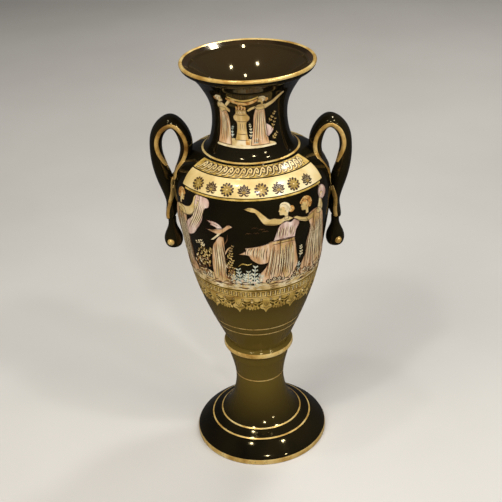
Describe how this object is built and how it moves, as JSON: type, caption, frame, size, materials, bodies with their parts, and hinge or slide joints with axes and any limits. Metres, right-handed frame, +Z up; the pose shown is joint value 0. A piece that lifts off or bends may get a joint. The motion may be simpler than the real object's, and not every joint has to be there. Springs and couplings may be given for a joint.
{
  "type": "two-handled pedestal amphora",
  "caption": "Tall black-glazed ceramic amphora with a flared mouth, looped side handles with eyed terminals, a stem collar and a flared hollow foot.",
  "frame": {"origin": "centre of the foot's resting ring, on the surface that the vase stands on", "axes": "+Z up along the axis the vase was thrown on; +X from the axis towards the right handle; -Y towards the front of the main scene"},
  "size_m": [0.1632, 0.1294, 0.355],
  "materials": {
    "black_glaze": "gloss",
    "gold_lustre": "gloss"
  },
  "bodies": {
    "root": {"foot": "black_glaze", "stem_collar": "black_glaze", "body": "black_glaze", "neck": "black_glaze", "handle_left": "black_glaze", "handle_right": "black_glaze", "handle_terminal_left": "black_glaze", "handle_terminal_right": "black_glaze", "eye_bosses_left": "gold_lustre", "eye_bosses_right": "gold_lustre"}
  },
  "joints": []
}
